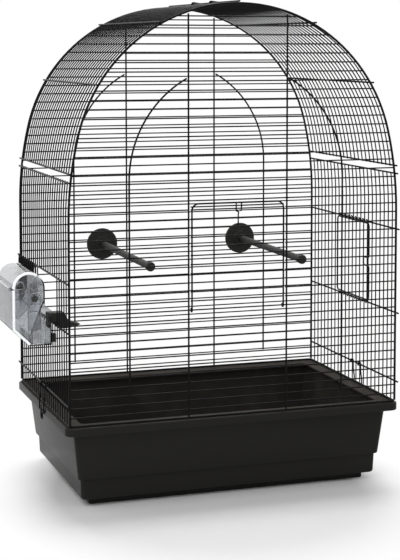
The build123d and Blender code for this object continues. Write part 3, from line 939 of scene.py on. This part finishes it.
@dataclass
class Feeder:
    """The clear hopper outside the wall, with its moulded ribs and bosses, in metres."""

    nodes: Mapping[str, bpy.types.Object]
    wardrobe: Wardrobe
    ends: tuple[float, float] = (-0.0845, 0.0280)
    panel_depth: float = 0.0025
    panel_thickness: float = 0.4
    rib_radius: float = 0.0009
    rim_radius: float = 0.0019
    edge_rounding: float = 0.0010
    dome_middle: float = -0.29055
    dome_spring: float = 0.3106
    dome_radius: float = 0.0214
    dome_steps: int = 16
    dome_first_step: int = 5
    rim_line: tuple[tuple[float, float], ...] = (
        (-0.31195, 0.3084), (-0.31195, 0.2516), (-0.2893, 0.2292),
    )
    base_line: tuple[tuple[float, float], ...] = (
        (-0.2893, 0.2288), (-0.2690, 0.2288), (-0.2690, 0.2530),
    )
    arch_middle: float = -0.2822
    arch_half: float = 0.0088
    arch_spring: float = 0.2948
    arch_foot: float = 0.2486
    arch_steps: int = 12
    boss_place: tuple[float, float] = (-0.2816, 0.2946)
    boss_radius: float = 0.0050
    rib_span: tuple[float, float] = (-0.2906, -0.2740)
    ribs: tuple[Rib, ...] = (
        Rib("feeder_upper_rib", 0.2868, 0.0012),
        Rib("feeder_cup_rib", 0.2757, 0.0014),
        Rib("feeder_foot_rib", 0.2500, 0.0014),
    )

    def landing(self) -> None:
        """Stands a rounded landing block in for the CAD one."""
        piece = rounded_copy(self.nodes["feeder_perch"], "feeder_landing", self.edge_rounding)
        self.wardrobe.dress(piece, Slot.MOULDED)
        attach(piece, "feeder")
        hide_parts("feeder_perch")

    def rib(self, name: str, points: Sequence[Point], slot: Slot, body: str, radius: float) -> None:
        """Adds one moulded rib.

        Args:
            name: Its name.
            points: Points along it in metres.
            slot: Its finish.
            body: The body that it moves with.
            radius: Its radius in metres.
        """
        piece = tube_along(name, points, radius)
        self.wardrobe.dress(piece, slot)
        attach(piece, body)
        LOG.info("built %s", name)

    def rims(self, y: float, tag: str) -> None:
        """Adds the thick moulded rims round one end of the hopper and of its lid.

        Args:
            y: The end's place.
            tag: What the names end with.
        """
        dome = []
        for step in range(self.dome_first_step, self.dome_steps + 1):
            turn = pi * step / self.dome_steps
            x = self.dome_middle + self.dome_radius * cos(turn)
            dome.append((x, y, self.dome_spring + self.dome_radius * sin(turn)))
        body = [(x, y, z) for x, z in self.rim_line]
        base = [(x, y, z) for x, z in self.base_line]
        # The two thick rims take the frosted finish, whose emission paints a highlight along them.
        self.rib(f"feeder_lid_rim_{tag}", dome, Slot.FROSTED_PAINTED_HIGHLIGHT, "feeder_lid", self.rim_radius)
        self.rib(f"feeder_rim_{tag}", body, Slot.FROSTED_PAINTED_HIGHLIGHT, "feeder", self.rim_radius)
        self.rib(f"feeder_base_rim_{tag}", base, Slot.CLEAR, "feeder", self.rib_radius)

    def panel(self, y: float, inward: float, tag: str) -> None:
        """Adds the arched panel behind one end wall.

        Args:
            y: The wall's place.
            inward: How far in the panel stands, with its direction.
            tag: What the name ends with.
        """
        name = f"feeder_panel_{tag}"
        line = self.arch_points(y + inward)
        count = len(line)
        back = [(x, place + inward * self.panel_thickness, z) for x, place, z in line]
        sides = [(i, (i + 1) % count, count + (i + 1) % count, count + i) for i in range(count)]
        faces = sides + [tuple(range(count)), tuple(range(count, 2 * count))]
        mesh = bpy.data.meshes.new(name)
        mesh.from_pydata(line + back, [], faces)
        shade_by_angle(mesh, 40.0)
        piece = link_mesh(name, mesh)
        self.wardrobe.dress(piece, Slot.SMOKED)
        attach(piece, "feeder")
        LOG.info("built %s", name)

    def arch_points(self, y: float) -> list[Point]:
        """Returns the line of the raised arch on an end wall.

        Args:
            y: The wall's place.

        Returns:
            Points along the arch.
        """
        points = [(self.arch_middle - self.arch_half, y, self.arch_foot)]
        for step in range(self.arch_steps + 1):
            turn = pi * (1 - step / self.arch_steps)
            x = self.arch_middle + self.arch_half * cos(turn)
            points.append((x, y, self.arch_spring + self.arch_half * sin(turn)))
        points.append((self.arch_middle + self.arch_half, y, self.arch_foot))
        return points

    def end_ribs(self, y: float, inward: float, tag: str) -> None:
        """Adds the ribs and the round boss of one end wall.

        Args:
            y: The wall's place.
            inward: How far in the panel stands, with its direction.
            tag: What the names end with.
        """
        x, z = self.boss_place
        boss = [(x, y + inward, z), (x, y, z)]
        self.rib(f"feeder_boss_{tag}", boss, Slot.SMOKED, "feeder", self.boss_radius)
        arch = self.arch_points(y)
        self.rib(f"feeder_arch_rib_{tag}", arch, Slot.SMOKED, "feeder", self.rib_radius)
        left, right = self.rib_span
        for rib in self.ribs:
            points = [(left, y, rib.height), (right, y, rib.height)]
            self.rib(f"{rib.name}_{tag}", points, Slot.SMOKED, "feeder", rib.radius)

    def build(self) -> None:
        """Adds the landing block, and each end's rims, panel and ribs."""
        self.landing()
        front, back = self.ends
        for tag, y, inward in (("front", front, self.panel_depth), ("back", back, -self.panel_depth)):
            self.rims(y, tag)
            self.panel(y, inward, tag)
            self.end_ribs(y, inward, tag)


WIRE_NODES = (
    "bottom_frame", "front_edge_wire", "back_edge_wire", "front_bars", "back_bars",
    "front_uprights", "back_uprights", "front_arches", "back_arches", "left_side_wires",
    "right_side_wires", "roof_wires", "left_rails", "right_rails", "roof_rails",
    "front_door_frame", "front_door_bars", "front_door_latch", "latch_staples",
    "right_door_frame", "right_door_wires", "left_door_frame", "left_door_wires",
    "tray_latch_left", "tray_latch_right", "carrying_loop",
)
MOULDED_NODES = (
    "feeder_clips", "perch_rod_left", "perch_rod_right", "perch_flange_left",
    "perch_flange_right", "perch_nut_left", "perch_nut_right",
)
CLEAR_NODES = ("feeder_housing", "feeder_lid", "feeder_divider", "feeder_baffles")
STEEL_NODES = ("feeder_lid_pin",)


@dataclass
class CadPieces:
    """The CAD pieces whose shape is right, which only take their finish."""

    nodes: Mapping[str, bpy.types.Object]
    wardrobe: Wardrobe
    groups: Mapping[Slot, Sequence[str]] = field(
        default_factory=lambda: {
            Slot.WIRE: WIRE_NODES,
            Slot.MOULDED: MOULDED_NODES,
            Slot.CLEAR: CLEAR_NODES,
            Slot.STEEL: STEEL_NODES,
        }
    )

    def build(self) -> None:
        """Dresses every one of them."""
        for slot, names in self.groups.items():
            for name in names:
                self.wardrobe.dress(self.nodes[name], slot)
                LOG.info("dressed %s in %s", name, slot.value)


@dataclass(frozen=True)
class Lamp:
    """A soft square lamp, with its places and edge in metres and its power in watts."""

    name: str
    place: Point
    aim: Point
    size: float
    power: float

    def hang(self) -> None:
        """Puts the lamp into the scene."""
        light = bpy.data.lights.new(self.name, "AREA")
        light.size = self.size
        light.energy = self.power
        lamp = bpy.data.objects.new(self.name, light)
        lamp.location = self.place
        toward = Vector(self.aim) - Vector(self.place)
        lamp.rotation_euler = toward.to_track_quat("-Z", "Y").to_euler()
        bpy.context.scene.collection.objects.link(lamp)


@dataclass
class Studio:
    """The floor, lamps, surroundings and camera.

    floor_dimming is how much darker than white the floor is to glossy rays, to match the sheen on
    the tray's side. At 0 a gloss shows the white floor as the camera does.
    """

    camera_place: Point = (-0.7435, -2.2222, 0.6562)
    camera_turn: float = 18.94
    camera_dip: float = 4.56
    lens: float = 98.43
    shift: tuple[float, float] = (-0.025, -0.20)
    ambient: float = 0.42
    floor_reach: float = 30.0
    floor_white: float = 1.12
    floor_dimming: float = 0.5
    floor_under: float = 0.8
    shadow_shift: Point = (0.1, 0.333, 0)
    shadow_shape: Point = (3.33, 2.78, 0)
    shadow_reach: tuple[float, float] = (0.74, 1.08)
    sensor: float = 36.0
    far_clip: float = 100.0
    lamps: tuple[Lamp, ...] = (
        Lamp("key_lamp", (0.35, 1.2, 2.5), (0, 0, 0.1), 1.5, 48.0),
        Lamp("fill_lamp", (-1.7, -0.9, 2.1), (0, 0, 0.3), 2.0, 16.0),
    )

    def seen_directly(self, sheet: ShaderSheet) -> Signal:
        """Returns 1 for rays from the camera, a gloss or a clear piece.

        Args:
            sheet: The sheet to build on.

        Returns:
            The mask.
        """
        camera = sheet.node("ShaderNodeLightPath", output="Is Camera Ray")
        glossy = sheet.node("ShaderNodeLightPath", output="Is Glossy Ray")
        through = sheet.node("ShaderNodeLightPath", output="Is Transmission Ray")
        return camera.highest(glossy).highest(through)

    def surroundings(self) -> None:
        """Sets a white background that lights the scene at a plain level."""
        world = bpy.data.worlds.new("studio")
        bpy.context.scene.world = world
        world.use_nodes = True
        sheet = ShaderSheet(world.node_tree)
        strength = self.seen_directly(sheet) * (1.0 - self.ambient) + self.ambient
        inputs = {"Color": grey(1.0), "Strength": strength}
        sheet.node("ShaderNodeOutputWorld", {}, {0: sheet.node("ShaderNodeBackground", {}, inputs)})

    def floor(self) -> None:
        """Lays the white floor, which keeps the object's shadow."""
        material = bpy.data.materials.new("studio_floor")
        material.use_nodes = True
        sheet = ShaderSheet(material.node_tree)
        lit = sheet.node("ShaderNodeBsdfDiffuse", {}, {"Color": grey(self.floor_white)})
        glossy = sheet.node("ShaderNodeLightPath", output="Is Glossy Ray")
        strength = 1.0 - glossy * self.floor_dimming
        glow = sheet.node("ShaderNodeEmission", {}, {"Color": grey(1.0), "Strength": strength})
        inputs = {
            "Vector": sheet.place(), "Location": self.shadow_shift, "Scale": self.shadow_shape
        }
        flat = sheet.node("ShaderNodeMapping", {}, inputs)
        away = sheet.node("ShaderNodeVectorMath", {"operation": "LENGTH"}, {0: flat}, "Value")
        past_shadow = sheet.remap(away, *self.shadow_reach, 0.0, 1.0)
        direct = sheet.node("ShaderNodeMixShader", {}, {0: past_shadow, 1: lit, 2: glow})
        plain = sheet.node("ShaderNodeBsdfDiffuse", {}, {"Color": grey(self.floor_under)})
        mixed = sheet.node(
            "ShaderNodeMixShader", {}, {0: self.seen_directly(sheet), 1: plain, 2: direct}
        )
        sheet.node("ShaderNodeOutputMaterial", {}, {"Surface": mixed})
        reach = self.floor_reach
        corners = [(-reach, -reach, 0), (reach, -reach, 0), (reach, reach, 0), (-reach, reach, 0)]
        mesh = bpy.data.meshes.new("studio_floor")
        mesh.from_pydata(corners, [], [(0, 1, 2, 3)])
        floor = link_mesh("studio_floor", mesh)
        mesh.materials.append(material)

    def camera(self) -> None:
        """Sets the camera up as the photograph sees the cage."""
        lens = bpy.data.cameras.new("camera")
        lens.lens = self.lens
        lens.sensor_width = self.sensor
        lens.shift_x, lens.shift_y = self.shift
        lens.clip_end = self.far_clip
        camera = bpy.data.objects.new("camera", lens)
        camera.location = self.camera_place
        camera.rotation_euler = (radians(90 - self.camera_dip), 0, radians(-self.camera_turn))
        bpy.context.scene.collection.objects.link(camera)
        bpy.context.scene.camera = camera

    def build(self) -> None:
        """Puts the studio together."""
        self.surroundings()
        self.floor()
        for lamp in self.lamps:
            lamp.hang()
        self.camera()
        bpy.context.scene.view_settings.view_transform = "Standard"


def main() -> None:
    """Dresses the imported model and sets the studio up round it."""
    logging.basicConfig(level=logging.INFO, format="%(message)s")
    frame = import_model()
    wardrobe = Wardrobe()
    CadPieces(frame["nodes"], wardrobe).build()
    tub = Tray(wardrobe).build()
    LOG.info("built %s", tub.name)
    Feeder(frame["nodes"], wardrobe).build()
    for piece in WeldBeads(wardrobe).build():
        LOG.info("built %s", piece.name)
    Studio().build()


if __name__ == "__main__":
    main()
